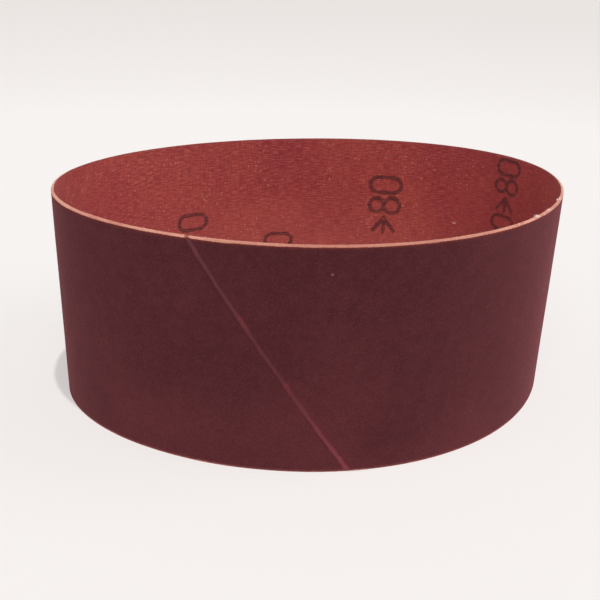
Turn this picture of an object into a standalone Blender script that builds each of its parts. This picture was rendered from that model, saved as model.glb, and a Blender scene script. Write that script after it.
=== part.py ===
"""Sanding belt: one endless strip of abrasive cloth, standing on its lower edge in the loose egg
shape that a new belt takes by itself. The strip's ends are cut on a slant, ground down to thin
wedges and glued in a lap, so each end leaves a small step on its own side of the belt.

Metres, +Z up. The long axis of the loop lies along X and the belt stands on Z = 0."""

import math

import bmesh
import bpy
import numpy as np

# Strip, its length taken along the middle of its thickness once it is joined
BELT_LENGTH = 0.510
BELT_WIDTH = 0.075
CLOTH_THICKNESS = 0.0006
COAT_THICKNESS = 0.0004

# Loop: an oval with a blunt and a narrow end and slightly flattened sides
LOOP_WIDTH_TO_LENGTH = 0.769
EGG_COS, EGG_SIN = -0.0062, 0.0200
FLATNESS_COS, FLATNESS_SIN = 0.0032, 0.0033

# Splice: the place of the outer end, measured round the belt from its +X end at half width
SPLICE_PLACE = 0.3513
SPLICE_ANGLE = math.radians(56.3)
SPLICE_OVERLAP = 0.011
OUTER_END_STEP = 0.0003
INNER_END_STEP = 0.0002
END_FACE_SLOPE = 0.0007

# Facets along the lap, round the rest of the loop and up the width
LAP_COLUMNS = 5
LOOP_COLUMNS = 195
ROWS = 8
CURVE_SAMPLES = 4096

COAT, CLOTH, CUT_EDGE = range(3)
FINISHES = {
    COAT: ("resin_bonded_grain", (0.080, 0.024, 0.029), 0.85),
    CLOTH: ("dyed_cotton_back", (0.296, 0.045, 0.042), 0.90),
    CUT_EDGE: ("raw_cut_edge", (0.658, 0.296, 0.216), 0.95),
}


def trace_loop():
    """Points of the belt's middle line, each with its distance from the +X end."""
    angle = np.linspace(0.0, 2.0 * math.pi, CURVE_SAMPLES + 1)
    reach = (
        1.0
        + EGG_COS * np.cos(3 * angle)
        + EGG_SIN * np.sin(3 * angle)
        + FLATNESS_COS * np.cos(4 * angle)
        + FLATNESS_SIN * np.sin(4 * angle)
    )
    x = reach * np.cos(angle)
    y = reach * LOOP_WIDTH_TO_LENGTH * np.sin(angle)
    distance = np.concatenate([[0.0], np.cumsum(np.hypot(np.diff(x), np.diff(y)))])
    scale = BELT_LENGTH / distance[-1]
    return x * scale, y * scale, distance * scale


def roll_up(loop, along, outward, height):
    """The point that lies so far round the loop, so far outside its middle line and so high."""
    xs, ys, distance = loop
    reach = BELT_LENGTH / CURVE_SAMPLES
    places = np.array([along - reach, along, along + reach]) % BELT_LENGTH
    x, y = np.interp(places, distance, xs), np.interp(places, distance, ys)
    run_x, run_y = x[2] - x[0], y[2] - y[0]
    run = math.hypot(run_x, run_y)
    return x[1] + outward * run_y / run, y[1] - outward * run_x / run, height


def column_places():
    """How far each column of vertices lies from the edge of the outer end, all round the belt."""
    lap = np.linspace(0.0, SPLICE_OVERLAP, LAP_COLUMNS + 1)
    rest = np.linspace(
        SPLICE_OVERLAP + END_FACE_SLOPE, BELT_LENGTH - END_FACE_SLOPE, LOOP_COLUMNS + 1
    )
    return np.concatenate([lap, rest, [BELT_LENGTH]])


def lean(place, height):
    """How far round the belt the slant of the splice carries a vertex. Columns in the lap follow
    the slant, and those across the loop from it stand upright."""
    angle_from_lap = 2 * math.pi * (place - SPLICE_OVERLAP / 2) / BELT_LENGTH
    follow = (1 + math.cos(angle_from_lap)) / 2
    return follow * (BELT_WIDTH / 2 - height) / math.tan(SPLICE_ANGLE)


def lap_steps(place):
    """How far the grain side and the cloth side stand proud of the single strip."""
    into_lap = (place % BELT_LENGTH) / SPLICE_OVERLAP
    if into_lap > 1.0:
        return 0.0, 0.0
    return OUTER_END_STEP * (1.0 - into_lap), INNER_END_STEP * into_lap


def make_strip(bm, columns):
    """The flat strip, one unit each way, with its ends open. X counts along it, Y across it, and
    Z is 0 on the grain side and -1 on the cloth side."""
    bmesh.ops.create_grid(bm, x_segments=columns, y_segments=ROWS, size=0.5)
    sheet = bmesh.ops.extrude_face_region(bm, geom=bm.faces[:], use_keep_orig=True)
    back = [part for part in sheet["geom"] if isinstance(part, bmesh.types.BMVert)]
    bmesh.ops.translate(bm, verts=back, vec=(0.0, 0.0, -1.0))
    for face in bm.faces:
        middle = face.calc_center_median()
        if -0.9 < middle.z < -0.1:
            face.material_index = CUT_EDGE
        elif middle.z < -0.5:
            face.material_index = CLOTH
    ends = [face for face in bm.faces if abs(face.normal.x) > 0.5]
    bmesh.ops.delete(bm, geom=ends, context="FACES")


def join_strip(bm, places):
    """Rolls the strip round the loop, and joins its ends in the lap."""
    loop = trace_loop()
    half_thickness = (CLOTH_THICKNESS + COAT_THICKNESS) / 2
    last_column = len(places) - 1
    for vert in bm.verts:
        place = places[round((vert.co.x + 0.5) * last_column)]
        height = (vert.co.y + 0.5) * BELT_WIDTH
        grain_step, cloth_step = lap_steps(place)
        on_grain_side = vert.co.z > -0.5
        outward = half_thickness + grain_step if on_grain_side else -half_thickness - cloth_step
        vert.co = roll_up(loop, SPLICE_PLACE + place + lean(place, height), outward, height)
    bmesh.ops.remove_doubles(bm, verts=bm.verts, dist=END_FACE_SLOPE / 100)


def centre_on_origin(bm):
    """The origin goes to the middle of the belt's outline, at the height of its lower edge."""
    corners = np.array([vert.co for vert in bm.verts])
    middle = (corners.min(axis=0) + corners.max(axis=0)) / 2
    bmesh.ops.translate(bm, verts=bm.verts, vec=(-middle[0], -middle[1], 0.0))


def make_finish(name, colour, roughness):
    material = bpy.data.materials.new(name)
    material.use_nodes = True
    shader = material.node_tree.nodes["Principled BSDF"]
    shader.inputs["Base Color"].default_value = (*colour, 1.0)
    shader.inputs["Roughness"].default_value = roughness
    shader.inputs["Metallic"].default_value = 0.0
    return material


def make_belt():
    bm = bmesh.new()
    places = column_places()
    make_strip(bm, len(places) - 1)
    join_strip(bm, places)
    centre_on_origin(bm)
    bmesh.ops.recalc_face_normals(bm, faces=bm.faces)

    mesh = bpy.data.meshes.new("sanding_belt")
    bm.to_mesh(mesh)
    bm.free()
    for finish in FINISHES.values():
        mesh.materials.append(make_finish(*finish))
    mesh.shade_smooth()
    mesh.set_sharp_from_angle(angle=math.radians(40))
    belt = bpy.data.objects.new("sanding_belt", mesh)
    bpy.context.collection.objects.link(belt)


for old in list(bpy.data.objects):
    bpy.data.objects.remove(old, do_unlink=True)
make_belt()
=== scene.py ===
import math
import random

import bmesh
import bpy
import numpy as np
from mathutils import Matrix, Vector, noise


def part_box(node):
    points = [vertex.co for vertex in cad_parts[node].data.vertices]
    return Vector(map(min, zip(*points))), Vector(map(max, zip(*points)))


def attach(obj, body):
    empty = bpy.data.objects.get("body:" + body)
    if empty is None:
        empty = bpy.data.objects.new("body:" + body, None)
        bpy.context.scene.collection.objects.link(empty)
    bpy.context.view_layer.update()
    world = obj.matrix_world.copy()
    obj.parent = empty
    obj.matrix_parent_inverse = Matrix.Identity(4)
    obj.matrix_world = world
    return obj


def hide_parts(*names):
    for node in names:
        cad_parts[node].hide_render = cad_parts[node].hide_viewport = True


# A new sanding belt, standing on its edge in the loose loop that it takes by itself. The strip is
# one piece, and five pieces here show its three finishes: the coat of grain, the cloth back, and the
# two raw cut edges with their loose fibres. Metres, +Z up; the loop's long axis lies along X.

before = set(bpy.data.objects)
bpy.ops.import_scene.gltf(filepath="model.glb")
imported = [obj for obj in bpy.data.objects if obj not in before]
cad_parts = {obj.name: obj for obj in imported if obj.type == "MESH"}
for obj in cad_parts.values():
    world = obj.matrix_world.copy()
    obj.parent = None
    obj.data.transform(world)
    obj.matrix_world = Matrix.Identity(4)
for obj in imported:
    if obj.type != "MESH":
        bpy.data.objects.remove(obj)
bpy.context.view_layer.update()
cadLow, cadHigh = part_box("sanding_belt")

belt = {
    "width": cadHigh.z - cadLow.z,
    "outlineLength": cadHigh.x - cadLow.x,
    "clothThickness": 0.0006,
    "coatThickness": 0.0004,
    "topMargin": 0.0005,             # outside, where the knife broke the coat away from the cloth
    "footMargin": 0.0002,
    "loopWidthToLength": 0.769,
    "egg": (-0.0062, 0.0200),        # cosine and sine, three to the turn: a blunt and a narrow end
    "flatness": (0.0032, 0.0033),    # four to the turn: flattened sides
    "curveSamples": 4096,
    "cell": 0.00075,                 # of the meshes
    "seamRows": 17,                  # of the hidden seam between coat and cloth
    "weld": 0.000001,                # mesh points that lie closer than this are one
}
splice = {
    "place": 0.3508,                 # of the outer end, from the +X end at half width
    "angle": math.radians(56.3),
    "overlap": 0.011,
    "outerStep": 0.0003,
    "innerStep": 0.0002,
    "outerLift": 0.00025,            # the outer end was glued on this much too high
    "lapChip": 0.00030,              # how much more of the coat broke off at the lap's cut edge
    "glueFillet": 0.0010,            # along the belt, in front of the outer end
    "innerFillet": 0.0005,
    "chipRise": 0.001,               # along the belt, from the outer end to where it is full
    "chipReach": 1.3,                # where it has died out, in overlaps
    "chipFade": 0.004,               # how long it takes to die out
    "fineReach": 0.0025,             # to both sides of an end, where the mesh is finer
    "fineColumns": 18,
    "fineCrowding": 1.5,             # above 1, they crowd towards the end
    "waver": 0.00030,                # how far the ground ends stray from a straight line
    "waverLength": 0.009,            # of one swing, up the width
    "waverReach": 0.004,             # along the belt, where it dies out
}
wall = belt["clothThickness"] + belt["coatThickness"]
seamShare = 1 - 2 * belt["coatThickness"] / wall     # where coat and cloth meet in the wall
coatEdge = {
    "top": belt["width"] - belt["topMargin"],
    "outside": 0.8,                  # from this share of the wall on, a point is on its grain side
    "chip": 0.00014,                 # of the uneven break, up or down
    "chipLength": 0.0007,            # and from one chip to the next
}
print("belt: the CAD box is", [round(1000 * (cadHigh[i] - cadLow[i]), 2) for i in range(3)], "mm")


# The loop

def traceLoop():
    # The middle of the wall, seen from above, with each point's distance from the +X end
    angle = np.linspace(0.0, 2 * math.pi, belt["curveSamples"] + 1)
    reach = np.ones_like(angle)
    for count, (cosine, sine) in ((3, belt["egg"]), (4, belt["flatness"])):
        reach += cosine * np.cos(count * angle) + sine * np.sin(count * angle)
    x = reach * np.cos(angle)
    y = reach * belt["loopWidthToLength"] * np.sin(angle)
    scale = (belt["outlineLength"] - wall) / (x.max() - x.min())
    x = scale * (x - (x.max() + x.min()) / 2)
    y = scale * (y - (y.max() + y.min()) / 2)
    distance = np.concatenate([[0.0], np.cumsum(np.hypot(np.diff(x), np.diff(y)))])
    return x, y, distance


loop = traceLoop()
loopLength = loop[2][-1]
print("loop: %.2f mm round the middle of the wall" % (1000 * loopLength))


def rollUp(along, outward, height):
    # Points that lie so far round the loop, so far outside its middle line and so high
    xs, ys, distance = loop
    step = loopLength / belt["curveSamples"]
    x = [np.interp((along + shift) % loopLength, distance, xs) for shift in (-step, 0.0, step)]
    y = [np.interp((along + shift) % loopLength, distance, ys) for shift in (-step, 0.0, step)]
    runX, runY = x[2] - x[0], y[2] - y[0]
    run = np.hypot(runX, runY)
    return np.column_stack([x[1] + outward * runY / run, y[1] - outward * runX / run, height])


def lean(place, height):
    # Columns of the mesh follow the slant near the splice and stand upright across the loop
    follow = (1 + np.cos(2 * math.pi * (place - splice["overlap"] / 2) / loopLength)) / 2
    return follow * (belt["width"] / 2 - height) / math.tan(splice["angle"])


def waver(place, height):
    # The ends were ground by hand, so they are not quite straight
    fromEnd = np.minimum(np.abs(place - splice["overlap"]), np.minimum(place, loopLength - place))
    near = np.exp(-(fromEnd / splice["waverReach"]) ** 2)
    # The two ends read the noise far apart, so that they don't stray alike
    side = np.where(np.abs(place - splice["overlap"]) < splice["overlap"] / 2, 7.0, 0.0)
    wave = [noise.noise(Vector((h / splice["waverLength"], s, 0.0))) for h, s in zip(height, side)]
    return splice["waver"] * near * np.array(wave)


def softStep(value):
    value = np.clip(value, 0.0, 1.0)
    return value * value * (3 - 2 * value)


def lapSteps(place):
    # How far the grain side and the cloth side stand proud of the single strip
    place = place % loopLength
    inLap = np.clip(place / splice["overlap"], 0.0, 1.0)
    past = place - splice["overlap"]
    before = loopLength - place
    onLap = past <= 0
    grainStep = np.where(
        onLap,
        splice["outerStep"] * (1 - inLap),
        splice["outerStep"] * softStep(1 - before / splice["glueFillet"]),
    )
    clothStep = np.where(
        onLap,
        splice["innerStep"] * inLap,
        splice["innerStep"] * softStep(1 - past / splice["innerFillet"]),
    )
    return grainStep, clothStep


def atCoatEdge(height, share):
    # Whether points are on the broken upper edge of the coat, or above it on the same side
    return (height > coatEdge["top"] - belt["cell"] / 4) & (share > coatEdge["outside"])


def lapChip(place):
    # How much more of the coat broke off on the lap and close behind it
    rise = softStep(place / splice["chipRise"])
    fall = softStep((splice["chipReach"] * splice["overlap"] - place) / splice["chipFade"])
    return splice["lapChip"] * rise * fall


def unevenness(points):
    # The slight waves of a wall of cloth, in metres
    waves = {"size": 0.00012, "wavelength": 0.024}
    return waves["size"] * np.array([noise.noise(Vector(p) / waves["wavelength"]) for p in points])


def placesRound(cell):
    # Where the columns of a mesh stand, measured round the belt from the outer end
    fine = splice["fineReach"] * np.linspace(0.0, 1.0, splice["fineColumns"]) ** splice["fineCrowding"]
    lapEnd = splice["overlap"]
    stretches = [
        fine,
        np.arange(splice["fineReach"] + cell, lapEnd - splice["fineReach"] - cell / 2, cell),
        lapEnd - fine[::-1],
        lapEnd + fine[1:],
        np.linspace(
            lapEnd + splice["fineReach"],
            loopLength - splice["fineReach"],
            round((loopLength - lapEnd) / cell),
        )[1:-1],
        loopLength - fine[::-1],
    ]
    return np.concatenate(stretches)


def sweepProfile(name, profile, cell, roughen=None):
    # Sweeps a closed profile round the loop. Each of its points has a share, 1 on the grain side of
    # the wall and -1 on the cloth side, and a height
    places = placesRound(cell)
    columns, rows = len(places) - 1, len(profile)
    bm = bmesh.new()
    bmesh.ops.create_grid(bm, x_segments=columns, y_segments=rows, size=0.5)
    mesh = bpy.data.meshes.new(name)
    bm.to_mesh(mesh)
    bm.free()

    flat = np.zeros(3 * len(mesh.vertices))
    mesh.vertices.foreach_get("co", flat)
    flat = flat.reshape(-1, 3)
    place = places[np.rint((flat[:, 0] + 0.5) * columns).astype(int)]
    row = np.rint((flat[:, 1] + 0.5) * rows).astype(int) % rows
    share, height = np.array(profile)[row].T
    along = splice["place"] + place + lean(place, height) + waver(place, height)
    grainStep, clothStep = lapSteps(place)
    outward = share * (wall / 2 + np.where(share > 0, grainStep, clothStep))
    outward += unevenness(rollUp(along, 0 * outward, height))
    lift = splice["outerLift"] * grainStep / splice["outerStep"]
    height = height + lift * softStep((share + 1) / 2)
    if roughen:
        outward, height = roughen(along, outward, height, share)
    height = height - np.where(atCoatEdge(height, share), lapChip(place), 0.0)
    points = rollUp(along, outward, height)
    mesh.vertices.foreach_set("co", points.astype(np.float32).ravel())

    corner = np.zeros(len(mesh.loops), np.int32)
    mesh.loops.foreach_get("vertex_index", corner)
    for layer, across in (("beltMm", along), ("fromSpliceMm", place)):
        uv = mesh.uv_layers.new(name=layer)
        millimetres = 1000 * np.column_stack([across, height])[corner]
        uv.data.foreach_set("uv", millimetres.astype(np.float32).ravel())
    return mesh, along, height, share


def closeSeams(mesh):
    bm = bmesh.new()
    bm.from_mesh(mesh)
    bmesh.ops.remove_doubles(bm, verts=bm.verts, dist=belt["weld"])
    bmesh.ops.recalc_face_normals(bm, faces=bm.faces)
    for face in bm.faces:
        face.smooth = True
    bm.to_mesh(mesh)
    bm.free()


def addPiece(mesh, material):
    mesh.materials.append(material)
    piece = bpy.data.objects.new(mesh.name, mesh)
    bpy.context.scene.collection.objects.link(piece)
    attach(piece, "root")
    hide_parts("sanding_belt")
    print("%s: %d faces" % (mesh.name, len(mesh.polygons)))


# Materials

def linear(hexColour):
    channels = [int(hexColour[i:i + 2], 16) / 255 for i in (1, 3, 5)]
    return [c / 12.92 if c <= 0.04045 else ((c + 0.055) / 1.055) ** 2.4 for c in channels] + [1.0]


def setInput(node, key, value):
    node.inputs[key].default_value = linear(value) if isinstance(value, str) else value


def addNode(tree, kind, settings, output=0):
    # Settings name a property of the node, or one of its inputs by name or number. An input takes a
    # plain value, a hex colour or the output of another node
    node = tree.nodes.new("ShaderNode" + kind)
    for key, value in settings.items():
        if isinstance(value, bpy.types.NodeSocket):
            tree.links.new(value, node.inputs[key])
        elif isinstance(key, int) or key in node.inputs:
            setInput(node, key, value)
        else:
            setattr(node, key, value)
    return node.outputs[output]


def startMaterial(name, settings):
    # Settings are the shader's inputs that are the same all over the surface
    material = bpy.data.materials.new(name)
    material.use_nodes = True
    shader = material.node_tree.nodes["Principled BSDF"]
    for key, value in settings.items():
        setInput(shader, key, value)
    return material, material.node_tree, shader


def layTints(tree, colour, tints):
    # A tint has the value that it follows, where that brings it in and where to its full share, the
    # share and the colour. Each one lies over those before it
    for source, start, full, share, tint in tints:
        amount = addNode(tree, "MapRange", {
            "Value": source, "From Min": start, "From Max": full, "To Max": share,
        })
        colour = addNode(tree, "Mix", {"data_type": "RGBA", 0: amount, 6: colour, 7: tint}, 2)
    return colour


def jitter(tree, value, source, low, high, most):
    # The value, and from minus to plus the most on top, as the source goes from low to high
    change = addNode(tree, "MapRange", {
        "Value": source, "From Min": low, "From Max": high, "To Min": -most, "To Max": most,
    })
    return addNode(tree, "Math", {"operation": "ADD", 0: value, 1: change})


def gapTo(tree, value, middle):
    # How far a value lies from a middle one, to either side
    offset = addNode(tree, "Math", {"operation": "SUBTRACT", 0: value, 1: middle})
    return addNode(tree, "Math", {"operation": "ABSOLUTE", 0: offset})


def ripple(tree, value, period):
    # 1 at each whole period, -1 half way between
    turn = addNode(tree, "Math", {"operation": "MULTIPLY", 0: value, 1: 2 * math.pi / period})
    return addNode(tree, "Math", {"operation": "COSINE", 0: turn})


def spotAt(tree, uv, middle, radii):
    # 1 in a small oval spot, 0 outside its soft rim, all in the millimetres of the UV layer
    core, rim = 0.6, 1.2             # shares of the radii
    centred = addNode(tree, "VectorMath", {
        "operation": "MULTIPLY_ADD", 0: uv, 1: (1 / radii[0], 1 / radii[1], 0.0),
        2: (-middle[0] / radii[0], -middle[1] / radii[1], 0.0),
    })
    reach = addNode(tree, "VectorMath", {"operation": "LENGTH", 0: centred}, "Value")
    return addNode(tree, "MapRange", {"Value": reach, "From Min": rim, "From Max": core})


def placeFromSplice(tree):
    # In millimetres: the place after the splice's outer end, or before it if negative, and the height
    uv = addNode(tree, "UVMap", {"uv_map": "fromSpliceMm"})
    place = addNode(tree, "SeparateXYZ", {0: uv}, "X")
    length = 1000 * loopLength
    ahead = addNode(tree, "Math", {"operation": "ADD", 0: place, 1: length / 2})
    wrapped = addNode(tree, "Math", {"operation": "MODULO", 0: ahead, 1: length})
    centred = addNode(tree, "Math", {"operation": "SUBTRACT", 0: wrapped, 1: length / 2})
    return centred, place.node.outputs["Y"]


# Grain coat: fused alumina grit, strewn electrostatically on a coat of phenol resin and locked by a
# second one. The eye sees a dark brown-red surface, matt and finely gritty, in soft patches where
# the resin lies thicker, with painted shade towards the top and painted light towards the foot,
# and a faint purplish bloom at a grazing angle.
def makeGrainCoat():
    coat = {
        "dark": "#4b2025", "light": "#57272c", "thin": "#6b3136", "thickResinAndTopShade": "#461d22",
        "gritLight": "#7a4549", "gap": "#3a171b", "speck": "#b98c84", "bloom": "#b0565e",
        "topCloth": "#70302a", "bottomCloth": "#7c4142", "halo": "#64282c",
        "lineTop": "#6a3843", "lineMiddle": "#66333c", "lineFoot": "#8c444e", "lineRed": "#86353a",
        "paintedShadeAndDarkGrit": "#3f1d21",
        "gritMm": 0.45,              # grade 80 grit is 0.2 mm: drawn coarser, so that it shows
        "lumpMm": 0.7143, "patchMm": 4.0, "broadMm": 45.0, "speckMm": 22.0,
        "bigSpeck": ((367.6, 66.4), (0.45, 0.45)),       # place round the belt and height, and size
        "bigSpeckShare": 0.4,
        "raggedMm": 1.1111, "blotchMm": 5.8824,          # of torn fibres, and of glue on the splice
        # bands along the splice: the middle, before the outer end, and where they are full and gone
        "haloMm": (-0.4, 0.5, 3.5), "paintedShadeMm": (-1.5, 0.1, 0.6), "lineMm": (-0.5, 0.4, 1.05),
        "reliefDepth": 0.00009,
    }
    material, tree, shader = startMaterial("resinBondedAluminaGrain", {
        "Roughness": 0.85, "IOR": 1.5,
        "Specular IOR Level": 0.10,  # the pits swallow most of the gloss
        "Sheen Weight": 0.32, "Sheen Roughness": 0.5, "Sheen Tint": coat["bloom"],
    })
    place = addNode(tree, "TexCoord", {}, "Object")
    patches = addNode(tree, "TexNoise", {
        "Scale": 1000 / coat["patchMm"], "Detail": 3.0, "Roughness": 0.6, "Vector": place,
    })
    broad = addNode(tree, "TexNoise", {"Scale": 1000 / coat["broadMm"], "Detail": 1.0, "Vector": place})
    upward = addNode(tree, "SeparateXYZ", {0: place}, "Z")
    # Broad patches of thicker and thinner resin, with painted shade and light on them: darker towards the
    # top, lighter towards the foot
    resinPatchesAndShade = jitter(tree, broad, upward, 0.0, belt["width"], 0.12)
    grit = addNode(tree, "TexVoronoi", {"Scale": 1000 / coat["gritMm"], "Vector": place}, "Distance")
    gritTone = addNode(tree, "SeparateColor", {0: grit.node.outputs["Color"]})
    specks = addNode(tree, "TexVoronoi", {"Scale": 1000 / coat["speckMm"], "Vector": place}, "Distance")
    smallSpecks = addNode(tree, "MapRange", {"Value": specks, "From Min": 0.020, "From Max": 0.010})
    beltMm = addNode(tree, "UVMap", {"uv_map": "beltMm"})
    bigSpeck = addNode(tree, "Math", {
        "operation": "MULTIPLY", 0: spotAt(tree, beltMm, *coat["bigSpeck"]), 1: coat["bigSpeckShare"],
    })
    speck = addNode(tree, "Math", {"operation": "MAXIMUM", 0: smallSpecks, 1: bigSpeck})
    colour = layTints(tree, coat["dark"], [
        (patches, 0.30, 0.70, 1.00, coat["light"]),
        (resinPatchesAndShade, 0.50, 0.70, 0.40, coat["thickResinAndTopShade"]),
        (resinPatchesAndShade, 0.50, 0.30, 0.40, coat["thin"]),
        (gritTone, 0.45, 1.00, 0.20, coat["gritLight"]),
        (grit, 0.42, 0.75, 0.35, coat["gap"]),
        (speck, 0.00, 1.00, 0.75, coat["speck"]),
    ])

    # The outer end of the splice: its ground slope shows dyed cloth and glue, redder towards the foot,
    # with painted shade in front of it, where the face of its step lies in shade. The cracked edges of
    # the coat let the dyed cloth show through
    fromEnd, height = placeFromSplice(tree)
    width = 1000 * belt["width"]
    downward = addNode(tree, "MapRange", {"Value": height, "From Min": width, "From Max": 0.0})
    ragged = addNode(tree, "TexNoise", {"Scale": 1000 / coat["raggedMm"], "Detail": 2.0, "Vector": place})
    blotches = addNode(tree, "TexNoise", {"Scale": 1000 / coat["blotchMm"], "Detail": 1.0, "Vector": place})
    lineColour = layTints(tree, coat["lineTop"], [
        (downward, 0.00, 0.45, 1.00, coat["lineMiddle"]),
        (downward, 0.60, 0.95, 1.00, coat["lineFoot"]),
        (blotches, 0.58, 0.66, 0.45, coat["lineRed"]),
        (gritTone, 0.30, 1.00, 0.25, coat["paintedShadeAndDarkGrit"]),
    ])
    across = jitter(tree, fromEnd, ragged, 0.25, 0.75, 0.16)
    haloMiddle, haloFull, haloGone = coat["haloMm"]
    paintedShadeMiddle, paintedShadeFull, paintedShadeGone = coat["paintedShadeMm"]
    lineMiddle, lineFull, lineGone = coat["lineMm"]
    haloAcross = addNode(tree, "MapRange", {
        "Value": gapTo(tree, across, haloMiddle), "From Min": haloGone, "From Max": haloFull,
    })
    haloDown = addNode(tree, "MapRange", {"Value": downward, "From Min": 0.35, "From Max": 0.90})
    halo = addNode(tree, "Math", {"operation": "MULTIPLY", 0: haloAcross, 1: haloDown})
    lineReach = jitter(tree, gapTo(tree, across, lineMiddle), blotches, 0.3, 0.7, -0.2)
    tornHead = jitter(tree, height, ragged, 0.3, 0.7, 0.20)
    tornFoot = jitter(tree, height, ragged, 0.3, 0.7, 0.15)
    colour = layTints(tree, colour, [
        (halo, 0.0, 1.0, 0.50, coat["halo"]),
        # painted shade in front of the outer end, where its step faces away from the light
        (gapTo(tree, across, paintedShadeMiddle), paintedShadeGone, paintedShadeFull, 0.30, coat["paintedShadeAndDarkGrit"]),
        (lineReach, lineGone, lineFull, 0.90, lineColour),
        (tornHead, width - 1.3, width - 0.7, 0.70, coat["topCloth"]),
        (tornFoot, 1.1, 0.5, 0.80, coat["bottomCloth"]),
    ])

    domes = addNode(tree, "MapRange", {"Value": grit, "From Min": 0.7, "From Max": 0.0})
    lumps = addNode(tree, "TexNoise", {"Scale": 1000 / coat["lumpMm"], "Detail": 3.0, "Vector": place})
    relief = addNode(tree, "Math", {"operation": "ADD", 0: domes, 1: lumps})
    bump = addNode(tree, "Bump", {"Strength": 0.55, "Distance": coat["reliefDepth"], "Height": relief})
    roughness = addNode(tree, "MapRange", {"Value": gritTone, "To Min": 0.68, "To Max": 0.88})
    tree.links.new(colour, shader.inputs["Base Color"])
    tree.links.new(roughness, shader.inputs["Roughness"])
    tree.links.new(bump, shader.inputs["Normal"])
    return material


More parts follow.
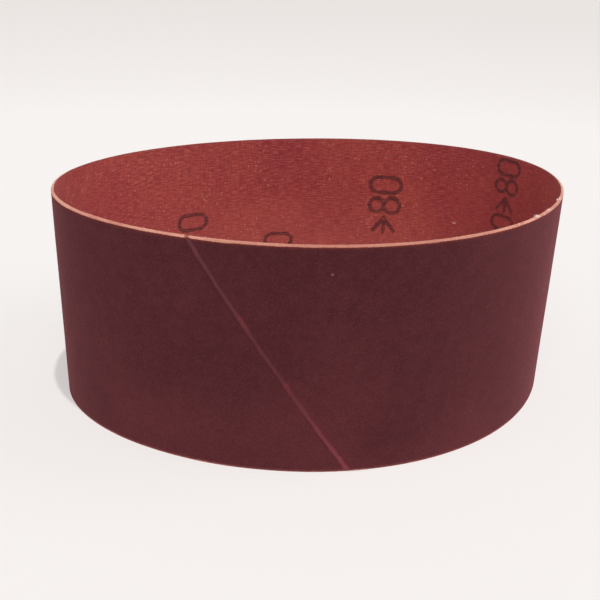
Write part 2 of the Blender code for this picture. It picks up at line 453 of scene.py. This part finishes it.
# Cloth back: heavy cotton twill, dyed brick red and filled with resin, then printed with thin black
# ink. The eye sees a flat, matt weave in fine streaks along the belt, pale nubs here and there, and
# soaked, uneven marks through which the threads still show.
def makeClothBack():
    cloth = {
        "deep": "#8e2f33", "warm": "#c04e44", "crimson": "#ad3a40", "light": "#d27566", "gap": "#6f2527",
        "nub": "#e3b09c", "ink": "#45191f", "inkEdge": "#3a1519", "cutShade": "#5a1f22",
        "bloom": "#d99a8f",
        "warpMm": 0.55, "weftMm": 0.62,                  # drawn coarser than real, so that they show
        "strayMm": (0.2, 0.15), "wobbleMm": 3.8462,      # of a thread off its line, and how often
        "dashMm": (3.6, 0.45), "barMm": (0.45, 5.0),     # of the uneven dye, along and across the belt
        "paintedLightFrom": 55.0, "paintedLightTo": 20.0,                # height, in mm: painted light, paler towards the foot
        "endShadeStart": 8.0, "wave": 0.45,                  # painted shade, darkest at both narrow ends of the loop, two to the turn
        "cloudMm": 26.0, "soakMm": 0.6667, "fuzzMm": 0.3846,
        "nubMm": 2.2, "nubRadiusMm": 0.40, "clusterMm": 12.0, "nubShare": 0.8,
        "bigNub": ((46.3, 41.3), (0.9, 0.45)),           # place round the belt and height, and size
        "reliefDepth": 0.00008,
    }
    material, tree, shader = startMaterial("dyedCottonTwill", {
        "Roughness": 0.88, "IOR": 1.5,
        "Sheen Weight": 0.12, "Sheen Roughness": 0.5, "Sheen Tint": cloth["bloom"],
    })
    place = addNode(tree, "TexCoord", {}, "Object")
    beltMm = addNode(tree, "UVMap", {"uv_map": "beltMm"})
    height = addNode(tree, "SeparateXYZ", {0: beltMm}, "Y")
    wobble = addNode(tree, "TexNoise", {
        "Scale": 1000 / cloth["wobbleMm"], "Detail": 2.0, "Vector": place,
    }, "Color")
    strayAlong, strayUp = cloth["strayMm"]
    shift = addNode(tree, "VectorMath", {
        "operation": "MULTIPLY_ADD", 0: wobble, 1: (2 * strayAlong, 2 * strayUp, 0.0),
        2: (-strayAlong, -strayUp, 0.0),
    })
    thread = addNode(tree, "VectorMath", {"operation": "ADD", 0: beltMm, 1: shift})
    along = addNode(tree, "SeparateXYZ", {0: thread}, "X")
    up = along.node.outputs["Y"]

    # Warp threads run along the belt, weft threads across it, and they cross in a twill
    weave, diagonal = 0.0, 0.0
    for reach, spacingMm, share in ((up, cloth["warpMm"], 0.6), (along, cloth["weftMm"], 0.3)):
        swell = ripple(tree, reach, spacingMm)
        weave = addNode(tree, "Math", {"operation": "MULTIPLY_ADD", 0: swell, 1: share, 2: weave})
        count = addNode(tree, "Math", {"operation": "DIVIDE", 0: reach, 1: spacingMm})
        whole = addNode(tree, "Math", {"operation": "FLOOR", 0: count})
        diagonal = addNode(tree, "Math", {"operation": "ADD", 0: diagonal, 1: whole})
    overUnder = ripple(tree, diagonal, 3)
    weave = addNode(tree, "Math", {"operation": "MULTIPLY_ADD", 0: overUnder, 1: 0.25, 2: weave})

    # No two threads took the dye alike, nor one thread all along
    uneven = []
    for lengthMm, widthMm in (cloth["dashMm"], cloth["barMm"]):
        stretched = addNode(tree, "VectorMath", {
            "operation": "MULTIPLY", 0: thread, 1: (1 / lengthMm, 1 / widthMm, 1.0),
        })
        uneven.append(addNode(tree, "TexNoise", {
            "noise_dimensions": "2D", "Scale": 1.0, "Detail": 2.0, "Roughness": 0.6, "Vector": stretched,
        }))
    dashes, bars = uneven
    clouds = addNode(tree, "TexNoise", {
        "Scale": 1000 / cloth["cloudMm"], "Detail": 3.0, "Roughness": 0.55, "Vector": place,
    })
    # Painted shade: the cloth is darker towards both narrow ends of the loop, where less light reaches
    # inside
    ahead = addNode(tree, "Math", {"operation": "SUBTRACT", 0: along, 1: cloth["endShadeStart"]})
    paintedEndShade = ripple(tree, ahead, 1000 * loopLength / 2)

    # Nubs: ends of pale fibres that the dye missed, in loose clusters
    nubs = addNode(tree, "TexVoronoi", {
        "voronoi_dimensions": "2D", "Scale": 1 / cloth["nubMm"], "Vector": beltMm,
    }, "Distance")
    nubTone = addNode(tree, "SeparateColor", {0: nubs.node.outputs["Color"]}, 1)
    clusters = addNode(tree, "TexNoise", {
        "Scale": 1000 / cloth["clusterMm"], "Detail": 2.0, "Vector": place,
    })
    chance = jitter(tree, nubTone, clusters, 0.3, 0.7, 0.4)
    nubForm = addNode(tree, "MapRange", {
        "Value": nubs, "From Min": cloth["nubRadiusMm"] / cloth["nubMm"], "From Max": 0.02,
    })
    nubStrength = addNode(tree, "MapRange", {
        "Value": chance, "From Min": 0.76, "From Max": 1.25, "To Max": cloth["nubShare"],
    })
    smallNubs = addNode(tree, "Math", {"operation": "MULTIPLY", 0: nubForm, 1: nubStrength})
    (bigAlong, bigUp), bigSize = cloth["bigNub"]
    spot = spotAt(tree, beltMm, (bigAlong + 1000 * loopLength, bigUp), bigSize)
    bigNub = addNode(tree, "Math", {"operation": "MULTIPLY", 0: spot, 1: cloth["nubShare"]})
    nub = addNode(tree, "Math", {"operation": "MAXIMUM", 0: smallNubs, 1: bigNub})

    # Ink: the attribute holds the depth inside the nearest stroke, in millimetres
    depth = addNode(tree, "Attribute", {"attribute_name": "inkDepthMm"}, "Fac")
    soak = addNode(tree, "TexNoise", {"Scale": 1000 / cloth["soakMm"], "Detail": 3.0, "Vector": place})
    soaked = jitter(tree, depth, soak, 0.25, 0.75, 0.35)
    ink = addNode(tree, "Math", {"operation": "MULTIPLY_ADD", 0: weave, 1: 0.12, 2: soaked})
    printed = addNode(tree, "MapRange", {"Value": ink, "From Min": -0.15, "From Max": 0.25})
    notWorn = addNode(tree, "MapRange", {
        "Value": dashes, "From Min": 0.35, "From Max": 0.70, "To Min": 1.0, "To Max": 0.55,
    })
    inkLeft = addNode(tree, "Math", {"operation": "MULTIPLY", 0: printed, 1: notWorn})

    # The cloth is darker within a millimetre of the upper edge
    width = 1000 * belt["width"]
    colour = layTints(tree, cloth["crimson"], [
        (clouds, 0.35, 0.65, 1.00, cloth["warm"]),
        (dashes, 0.50, 0.30, 0.70, cloth["deep"]),
        (dashes, 0.50, 0.70, 0.60, cloth["light"]),
        (bars, 0.55, 0.32, 0.55, cloth["deep"]),
        (weave, 0.00, -1.00, 0.50, cloth["gap"]),
        # painted light: the cloth paler towards the foot
        (height, cloth["paintedLightFrom"], cloth["paintedLightTo"], 0.22, cloth["light"]),
        (paintedEndShade, 0.10, 1.00, cloth["wave"], cloth["deep"]),
        (nub, 0.00, 1.00, 1.00, cloth["nub"]),
        (height, width - 0.7, width - 0.1, 0.70, cloth["cutShade"]),
        (inkLeft, 0.00, 1.00, 0.82, cloth["ink"]),
        (gapTo(tree, ink, 0.3), 0.40, 0.10, 0.30, cloth["inkEdge"]),
    ])

    fuzz = addNode(tree, "TexNoise", {"Scale": 1000 / cloth["fuzzMm"], "Detail": 2.0, "Vector": place})
    threads = addNode(tree, "Math", {"operation": "MULTIPLY_ADD", 0: weave, 1: 0.5, 2: fuzz})
    relief = addNode(tree, "Math", {"operation": "ADD", 0: threads, 1: nub})
    bump = addNode(tree, "Bump", {"Strength": 0.5, "Distance": cloth["reliefDepth"], "Height": relief})
    tree.links.new(colour, shader.inputs["Base Color"])
    tree.links.new(bump, shader.inputs["Normal"])
    return material


# Cut edge: cotton slit with a knife after it was dyed, so the pale cores of its threads show. The
# eye sees a soft, slightly swollen pale line, pink to buff, with a nick of dye here and there, and
# painted shade on the lower edge, next to the floor.
def makeCutEdge():
    edge = {
        "pale": "#dd9c86", "pink": "#c67c6b", "buff": "#d6956f", "dyed": "#8d3b38", "foot": "#a4605a",
        "threadMm": 0.6, "stretchMm": 9.0,
        "nickMm": (-0.5, 0.5, 1.0),  # at the splice: the middle, and where it is full and gone
        "dull": "#b87260", "dullMm": (48.0, 34.0, 46.0),         # the same, of a duller stretch
        "footHeight": (0.002, 0.001),                            # where the painted shade at the foot starts and is full
        "reliefDepth": 0.00012,
    }
    material, tree, shader = startMaterial("slitCottonEdge", {
        "Roughness": 0.95, "IOR": 1.5, "Sheen Weight": 0.2, "Sheen Roughness": 0.5,
    })
    place = addNode(tree, "TexCoord", {}, "Object")
    upward = addNode(tree, "SeparateXYZ", {0: place}, "Z")
    stretch = addNode(tree, "TexNoise", {"Scale": 1000 / edge["stretchMm"], "Detail": 3.0, "Vector": place})
    threads = addNode(tree, "TexNoise", {"Scale": 1000 / edge["threadMm"], "Detail": 2.0, "Vector": place})
    fromEnd, height = placeFromSplice(tree)
    nickMiddle, nickFull, nickGone = edge["nickMm"]
    dullMiddle, dullFull, dullGone = edge["dullMm"]
    footShadeStart, footShadeFull = edge["footHeight"]
    colour = layTints(tree, edge["pink"], [
        (stretch, 0.38, 0.62, 1.00, edge["pale"]),
        (threads, 0.45, 0.75, 0.50, edge["buff"]),
        (threads, 0.42, 0.25, 0.50, edge["dyed"]),
        (gapTo(tree, fromEnd, nickMiddle), nickGone, nickFull, 0.85, edge["dyed"]),
        (gapTo(tree, fromEnd, dullMiddle), dullGone, dullFull, 0.55, edge["dull"]),
        # painted shade on the lower edge, next to the floor
        (upward, footShadeStart, footShadeFull, 0.75, edge["foot"]),
    ])
    bump = addNode(tree, "Bump", {"Strength": 0.6, "Distance": edge["reliefDepth"], "Height": threads})
    tree.links.new(colour, shader.inputs["Base Color"])
    tree.links.new(bump, shader.inputs["Normal"])
    return material


# Loose fibre: undyed cotton drawn out of the cut threads. The eye sees fine, nearly white fuzz.
def makeLooseFibre():
    fibre = {"white": "#ffe2d9", "pink": "#f7c9bc", "patchMm": 1.5}
    material, tree, shader = startMaterial("looseCottonFibre", {
        "Roughness": 0.95, "IOR": 1.5, "Sheen Weight": 0.2,
    })
    place = addNode(tree, "TexCoord", {}, "Object")
    patches = addNode(tree, "TexNoise", {"Scale": 1000 / fibre["patchMm"], "Detail": 2.0, "Vector": place})
    colour = layTints(tree, fibre["white"], [(patches, 0.4, 0.6, 1.0, fibre["pink"])])
    tree.links.new(colour, shader.inputs["Base Color"])
    return material


# Printed marks: plain numbers and arrows, one above the other, read from the foot upwards

def arcPoints(centreX, centreY, radiusX, radiusY, start, stop, steps=14):
    angles = np.radians(np.linspace(start, stop, steps))
    return [(centreX + radiusX * math.cos(a), centreY + radiusY * math.sin(a)) for a in angles]


glyph = {
    "height": 15.5, "width": 8.7, "advance": 9.3, "halfStroke": 0.9,     # millimetres
    "waist": 0.53, "upperBowl": 0.9,         # of an 8: how far up it is, and its upper width to its lower
    "barb": 0.30, "barbLength": 1.3,         # of an arrow's head: half its width to the height of the
                                             # letters, and its length to that half width
    "margin": 2.0,                           # round a letter, where the ink is still worked out; mm
}


def strokesOf(character):
    # The middle lines of a character's strokes, in millimetres from its lower left corner
    pen = glyph["halfStroke"]
    halfX = glyph["width"] / 2 - pen
    middleX = glyph["width"] / 2
    top = glyph["height"] - pen
    if character == "0":
        ring = arcPoints(middleX, top - halfX, halfX, halfX, 0, 180)
        ring += arcPoints(middleX, pen + halfX, halfX, halfX, 180, 360)
        return [ring + ring[:1]]
    if character == "8":
        waist = pen + glyph["waist"] * (top - pen)
        upperX = glyph["upperBowl"] * halfX
        upper = arcPoints(middleX, (waist + top) / 2, upperX, (top - waist) / 2, 0, 360, 28)
        lower = arcPoints(middleX, (waist + pen) / 2, halfX, (waist - pen) / 2, 0, 360, 28)
        return [upper, lower]
    if character == ">":             # an arrow that points the way the numbers read
        tip = glyph["width"] - pen
        middleY = glyph["height"] / 2
        barb = glyph["barb"] * glyph["height"]
        back = tip - glyph["barbLength"] * barb
        head = [(back, middleY + barb), (tip, middleY), (back, middleY - barb)]
        return [head, [(pen, middleY), (tip, middleY)]]
    return []                        # a space


def distanceToStroke(points, stroke):
    nearest = np.full(len(points), np.inf)
    for start, stop in zip(np.array(stroke[:-1]), np.array(stroke[1:])):
        run = stop - start
        t = np.clip((points - start) @ run / (run @ run), 0.0, 1.0)
        nearest = np.minimum(nearest, np.hypot(*(points - start - t[:, None] * run).T))
    return nearest


marks = [
    # text, foot of the letters round the belt, lower end of the line, size of the letters; mm
    (">80", 70.8, 32.0, 1.0),
    (">8 0", 159.7, 10.4, 0.95),
    (">80", 119.9, 8.1, 0.9),
    ("80>80", 16.1, 35.4, 0.84),
    (">80", 214.0, 6.0, 1.0),
    (">80", 262.0, 22.0, 0.95),
    (">80", 306.0, 33.0, 0.9),
    (">80", 345.0, 9.0, 0.95),
    (">80", 392.0, 28.0, 1.0),
    (">80", 438.0, 12.0, 0.95),
    (">80", 482.0, 30.0, 0.9),
]


def inkDepth(along, height):
    # How deep inside a printed stroke each point lies, in millimetres; below zero outside
    depth = np.full(len(along), -1.0)
    around, up = 1000 * (along % loopLength), 1000 * height
    margin = glyph["margin"]
    corner = (glyph["width"] + margin, glyph["height"] + margin)
    for text, foot, start, size in marks:
        for index, character in enumerate(text):
            left = start + index * glyph["advance"] * size
            local = np.column_stack([up - left, around - foot]) / size
            near = np.all((local > -margin) & (local < corner), axis=1)
            for stroke in strokesOf(character):
                inside = glyph["halfStroke"] - distanceToStroke(local[near], stroke)
                depth[near] = np.maximum(depth[near], np.clip(size * inside, -1.0, 1.0))
    return depth


# The two faces of the belt

def heightsBetween(low, high):
    return np.linspace(low, high, round((high - low) / belt["cell"]) + 1)


def chipCoat(along, outward, height, share):
    # The brittle coat broke off a little unevenly where the knife went through
    points = rollUp(along, outward, height)
    flaw = np.array([noise.noise(Vector(p) / coatEdge["chipLength"]) for p in points])
    return outward, height + np.where(atCoatEdge(height, share), coatEdge["chip"] * flaw, 0.0)


def makeFaces():
    # The hidden seam faces need rows as well, or their slanted chords would cut through the bend
    foot = belt["footMargin"]
    rise = 0.0001                    # of the broken edge, from the face to the seam
    seam = [(seamShare, z) for z in np.linspace(coatEdge["top"], foot, belt["seamRows"])]
    coatProfile = [(1.0, z) for z in heightsBetween(foot, coatEdge["top"])]
    coatProfile += [(seamShare, coatEdge["top"] + rise)] + seam[1:]
    mesh = sweepProfile("grain_coat", coatProfile, belt["cell"], chipCoat)[0]
    closeSeams(mesh)
    addPiece(mesh, makeGrainCoat())

    clothProfile = [(-1.0, z) for z in heightsBetween(foot, belt["width"])]
    clothProfile += [(rawEdge["crown"][1], belt["width"] - rise / 2)] + seam
    mesh, along, height, share = sweepProfile("cloth_back", clothProfile, belt["cell"])
    depth = mesh.attributes.new("inkDepthMm", "FLOAT", "POINT")
    values = np.where(share < 0, inkDepth(along, height), -1.0)
    depth.data.foreach_set("value", values.astype(np.float32))
    closeSeams(mesh)
    addPiece(mesh, makeClothBack())


# The raw edges

rawEdge = {
    "cell": 0.0003,
    "points": 13,                    # of the part of the profile that shows
    "crown": (1.03, -0.85),          # from the one share of the wall to the other
    "crownPower": 0.8,               # below 1, its slope is steeper at first
    "sunk": (0.85, -0.90),           # shares of the wall where its ends lie hidden in the faces
    "depth": 0.0003,                 # of those ends
    "footRise": 0.0003,
    "footPowers": (0.3, 0.5),        # across and up: small ones give the bead a flat sole
    "footShare": -0.5,               # of the roughness, on the lower edge
    "roughness": 0.00006,
    "roughnessLength": 0.0007,
    "unevenness": 0.00005,
    "unevennessLength": 0.006,
}


def edgeProfile(upper):
    # The upper cut slants from the broken coat up to the cloth's inner corner, the lower one is flat
    first, last = rawEdge["sunk"]
    profile = []
    for turn in np.linspace(0.0, 1.0, rawEdge["points"]):
        if upper:
            start, stop = rawEdge["crown"]
            rise = math.sin(turn * math.pi / 2) ** rawEdge["crownPower"]
            profile.append((start + (stop - start) * turn, coatEdge["top"] + belt["topMargin"] * rise))
        else:
            acrossPower, upPower = rawEdge["footPowers"]
            across, down = math.cos(turn * math.pi), math.sin(turn * math.pi)
            share = math.copysign(abs(across) ** acrossPower, across)
            profile.append((share, rawEdge["footRise"] * (1 - down ** upPower)))
    if upper:
        deep = coatEdge["top"] - rawEdge["depth"]
    else:
        deep = rawEdge["footRise"] + rawEdge["depth"]
    return [(first, deep)] + profile + [(last, deep)]


def roughenEdge(along, outward, height, share):
    points = rollUp(along, outward, height)
    fine = np.array([noise.noise(Vector(p) / rawEdge["roughnessLength"]) for p in points])
    broad = np.array([noise.noise(Vector(p) / rawEdge["unevennessLength"]) for p in points])
    change = rawEdge["roughness"] * fine + rawEdge["unevenness"] * broad
    outward = outward * (1 + 2 * change / wall)
    upward = np.where(height > belt["width"] / 2, 1.0, rawEdge["footShare"])
    return outward, np.maximum(height + upward * change, 0.0)


def makeCutEdges(material):
    for name, upper in (("upper_cut_edge", True), ("lower_cut_edge", False)):
        mesh = sweepProfile(name, edgeProfile(upper), rawEdge["cell"], roughenEdge)[0]
        closeSeams(mesh)
        addPiece(mesh, material)


# Cotton fibres along the raw edges, which stand together in tufts here and there

fray = {
    "sides": 5, "joints": 3, "thickness": 0.00003,
    "taper": 0.9,                    # along the first joint
    "jointTaper": 0.8, "bend": 0.6,  # at each joint after it
    "fibres": 520, "fibreLength": (0.0002, 0.0007),
    "footShare": 0.2,                # of the loose fibres, at the lower edge
    "across": (-0.9, 1.0),           # the shares of the wall between which they grow
    "lean": (-0.6, 1.0),             # outwards, and along the belt up to 1 either way
    "rise": (0.8, 0.05),             # how steeply they stand, at the upper edge and the lower
    # place round the belt in mm, number of fibres, size in metres, share of the wall
    "tufts": (
        (431.5, 10, 0.0008, 0.1), (442.4, 24, 0.0021, 0.0), (447.6, 12, 0.0010, 0.3),
        (452.2, 16, 0.0013, -0.4), (466.8, 24, 0.0017, -0.3), (60.0, 9, 0.0005, 0.1),
        (288.0, 7, 0.0004, 0.1),
    ),
    "tuftSpread": (0.6, 0.3),        # along the belt and across, in sizes of the tuft
    "tuftLean": (-0.7, 0.8),
    "tuftFibreLength": (0.3, 0.7),   # in sizes of the tuft, and so is the matted lump in its middle
    "lumpRadius": 0.36, "lumpSink": 0.05, "lumpNoise": 0.9, "lumpWaves": 3, "lumpSquash": (0.95, 0.9),
}


def growFibre(bm, root, direction, length):
    # A short closed stick, whose end is pulled out further in steps that bend and taper
    step = length / fray["joints"]
    turn = direction.to_track_quat("Z", "X").to_matrix().to_4x4()
    place = Matrix.Translation(root + direction * step / 2) @ turn
    thickness = fray["thickness"]
    new = bmesh.ops.create_cone(
        bm, cap_ends=True, segments=fray["sides"], radius1=thickness, radius2=fray["taper"] * thickness,
        depth=step, matrix=place,
    )
    faces = {face for vert in new["verts"] for face in vert.link_faces}
    tip = max(faces, key=lambda face: face.calc_center_median().dot(direction))
    for joint in range(1, fray["joints"]):
        tip = bmesh.ops.extrude_discrete_faces(bm, faces=[tip])["faces"][0]
        bend = Vector([random.uniform(-fray["bend"], fray["bend"]) for axis in range(3)])
        direction = (direction + bend).normalized()
        bmesh.ops.translate(bm, verts=tip.verts, vec=direction * step)
        middle = tip.calc_center_median()
        taper = 3 * [fray["jointTaper"]]
        bmesh.ops.scale(bm, verts=tip.verts, vec=taper, space=Matrix.Translation(-middle))


def edgePoint(along, share, upper):
    # A point on the cut edge, the outward direction there and the one along the belt
    footHeight, probe = 0.0001, 0.001
    height = belt["topMargin"] * (1 - share) / 2 + coatEdge["top"] if upper else footHeight
    places = np.array([along, along, along + probe / 2])
    outward = share * wall / 2 * np.ones(3) + np.array([0.0, probe, 0.0])
    root, outer, ahead = [Vector(p) for p in rollUp(places, outward, height * np.ones(3))]
    return root, (outer - root).normalized(), (ahead - root).normalized()


def makeFray(material):
    random.seed(80)
    topRise, footRise = fray["rise"]
    squashAhead, squashOut = fray["lumpSquash"]
    spreadAhead, spreadOut = fray["tuftSpread"]
    bm = bmesh.new()
    for index in range(fray["fibres"]):
        upper = random.random() > fray["footShare"]
        along, share = random.uniform(0, loopLength), random.uniform(*fray["across"])
        root, out, ahead = edgePoint(along, share, upper)
        rise = Vector((0.0, 0.0, topRise if upper else footRise))
        direction = out * random.uniform(*fray["lean"]) + ahead * random.uniform(-1, 1) + rise
        growFibre(bm, root, direction.normalized(), random.uniform(*fray["fibreLength"]))
    for along, fibres, size, share in fray["tufts"]:
        root, out, ahead = edgePoint(along / 1000, share, True)
        radius = fray["lumpRadius"] * size
        lump = bmesh.ops.create_icosphere(bm, subdivisions=3, radius=radius)["verts"]
        for vert in lump:
            wave = noise.noise(vert.co / size * fray["lumpWaves"] + root * 1000)
            place = vert.co * (1 + fray["lumpNoise"] * wave)
            upward = Vector((0, 0, place.z - fray["lumpSink"] * size))
            vert.co = root + ahead * place.x * squashAhead + out * place.y * squashOut + upward
        for index in range(fibres):
            start = root + ahead * random.uniform(-spreadAhead, spreadAhead) * size
            start += out * random.uniform(-spreadOut, spreadOut) * size
            direction = ahead * random.uniform(-1, 1) + out * random.uniform(*fray["tuftLean"])
            direction = (direction + Vector((0, 0, topRise))).normalized()
            growFibre(bm, start, direction, random.uniform(*fray["tuftFibreLength"]) * size)
    bmesh.ops.recalc_face_normals(bm, faces=bm.faces)
    for face in bm.faces:
        face.smooth = True
    for vert in bm.verts:
        vert.co.z = max(vert.co.z, 0.0)
    mesh = bpy.data.meshes.new("edge_fray")
    bm.to_mesh(mesh)
    bm.free()
    addPiece(mesh, material)


makeFaces()
makeCutEdges(makeCutEdge())
makeFray(makeLooseFibre())


# Floor, light and camera

studio = {
    "floorRadius": 7.0, "floor": "#f5f1ef", "floorFar": "#e7e2df", "backdrop": "#ede8e4",
    "farFrom": 0.56, "farTo": 2.5,   # metres from the belt, where painted shade makes the floor grow darker
    "ownGlow": 0.48,                 # how much of the floor's look in the camera is its plain colour
    "world": "#fffdfb", "worldStrength": 0.30,
    "floorCorners": 96,
    # elevation and compass direction of each lamp, in degrees as the camera sees it: 0 is right
    # and -90 in front. Its share of the floor's light, and its width in degrees
    "lamps": {
        "ceilingLamp": (80.5, -49.0, 0.50, 1.4),
        "windowRight": (20.0, 4.0, 0.09, 40.0),
        "wallLeft": (9.0, -160.0, 0.018, 30.0),
        "frontFill": (42.0, -90.0, 0.14, 50.0),
    },
}
view = {
    "lens": 49.141, "sensor": 36.0,                      # millimetres
    "place": (-0.080436, -0.274750, 0.149931),           # metres
    "nearest": 0.01,
    "turn": -0.26546, "downTilt": 0.40195, "roll": 0.02902,      # radians
}


def seenDirectly(tree):
    # 1 for what the camera sees, also in or through something, and 0 for what only lights the scene
    seen = addNode(tree, "LightPath", {}, "Is Camera Ray")
    rays = seen.node.outputs
    for other in (rays["Is Glossy Ray"], rays["Is Transmission Ray"]):
        seen = addNode(tree, "Math", {"operation": "MAXIMUM", 0: seen, 1: other})
    return seen


def makeFloor():
    bm = bmesh.new()
    bmesh.ops.create_circle(
        bm, cap_ends=True, segments=studio["floorCorners"], radius=studio["floorRadius"]
    )
    mesh = bpy.data.meshes.new("floor")
    bm.to_mesh(mesh)
    bm.free()
    material, tree, shader = startMaterial("paleMattTable", {
        "Roughness": 0.9, "IOR": 1.5, "Specular IOR Level": 0.1,
    })
    place = addNode(tree, "TexCoord", {}, "Object")
    reach = addNode(tree, "VectorMath", {"operation": "LENGTH", 0: place}, "Value")
    nearness = addNode(tree, "Math", {"operation": "DIVIDE", 0: 1.0, 1: reach})
    # Painted shade: the floor grows darker far from the belt, where the light falls off
    colour = layTints(tree, studio["floor"], [
        (nearness, 1 / studio["farFrom"], 1 / studio["farTo"], 1.0, studio["floorFar"]),
    ])
    tree.links.new(colour, shader.inputs["Base Color"])
    glow = addNode(tree, "Emission", {"Strength": 1.0, "Color": colour})
    share = addNode(tree, "Math", {
        "operation": "MULTIPLY", 0: seenDirectly(tree), 1: studio["ownGlow"],
    })
    both = addNode(tree, "MixShader", {0: share, 1: shader.outputs[0], 2: glow})
    tree.links.new(both, tree.nodes["Material Output"].inputs["Surface"])
    mesh.materials.append(material)
    floor = bpy.data.objects.new("floor", mesh)
    bpy.context.scene.collection.objects.link(floor)


def addLamp(name, elevation, compass, share, width):
    # A lamp so far away that it lights the whole floor evenly
    lamp = bpy.data.lights.new(name, "SUN")
    lamp.energy = math.pi * share / math.sin(math.radians(elevation))
    lamp.angle = math.radians(width)
    holder = bpy.data.objects.new(name, lamp)
    level = math.cos(math.radians(elevation))
    compass = math.radians(compass) + view["turn"]
    upward = math.sin(math.radians(elevation))
    towards = Vector((level * math.cos(compass), level * math.sin(compass), upward))
    holder.location = towards
    holder.rotation_euler = (-towards).to_track_quat("-Z", "Y").to_euler()
    bpy.context.scene.collection.objects.link(holder)


def makeLight():
    world = bpy.data.worlds.new("paleRoom")
    world.use_nodes = True
    tree = world.node_tree
    background = tree.nodes["Background"]
    setInput(background, "Color", studio["world"])
    setInput(background, "Strength", studio["worldStrength"])
    backdrop = addNode(tree, "Background", {"Color": studio["backdrop"]})
    both = addNode(tree, "MixShader", {0: seenDirectly(tree), 1: background.outputs[0], 2: backdrop})
    tree.links.new(both, tree.nodes["World Output"].inputs["Surface"])
    bpy.context.scene.world = world
    for name, settings in studio["lamps"].items():
        addLamp(name, *settings)


def makeCamera():
    lens = bpy.data.cameras.new("camera")
    lens.sensor_width = view["sensor"]
    lens.lens = view["lens"]
    lens.clip_start = view["nearest"]
    camera = bpy.data.objects.new("camera", lens)
    camera.matrix_world = (
        Matrix.Translation(view["place"])
        @ Matrix.Rotation(view["turn"], 4, "Z")
        @ Matrix.Rotation(math.pi / 2 - view["downTilt"], 4, "X")
        @ Matrix.Rotation(view["roll"], 4, "Z")
    )
    bpy.context.scene.collection.objects.link(camera)
    bpy.context.scene.camera = camera


makeFloor()
makeLight()
makeCamera()
bpy.context.scene.view_settings.view_transform = "Standard"
print("studio: floor, %d lamps and the camera are set" % len(studio["lamps"]))

bpy.context.view_layer.update()
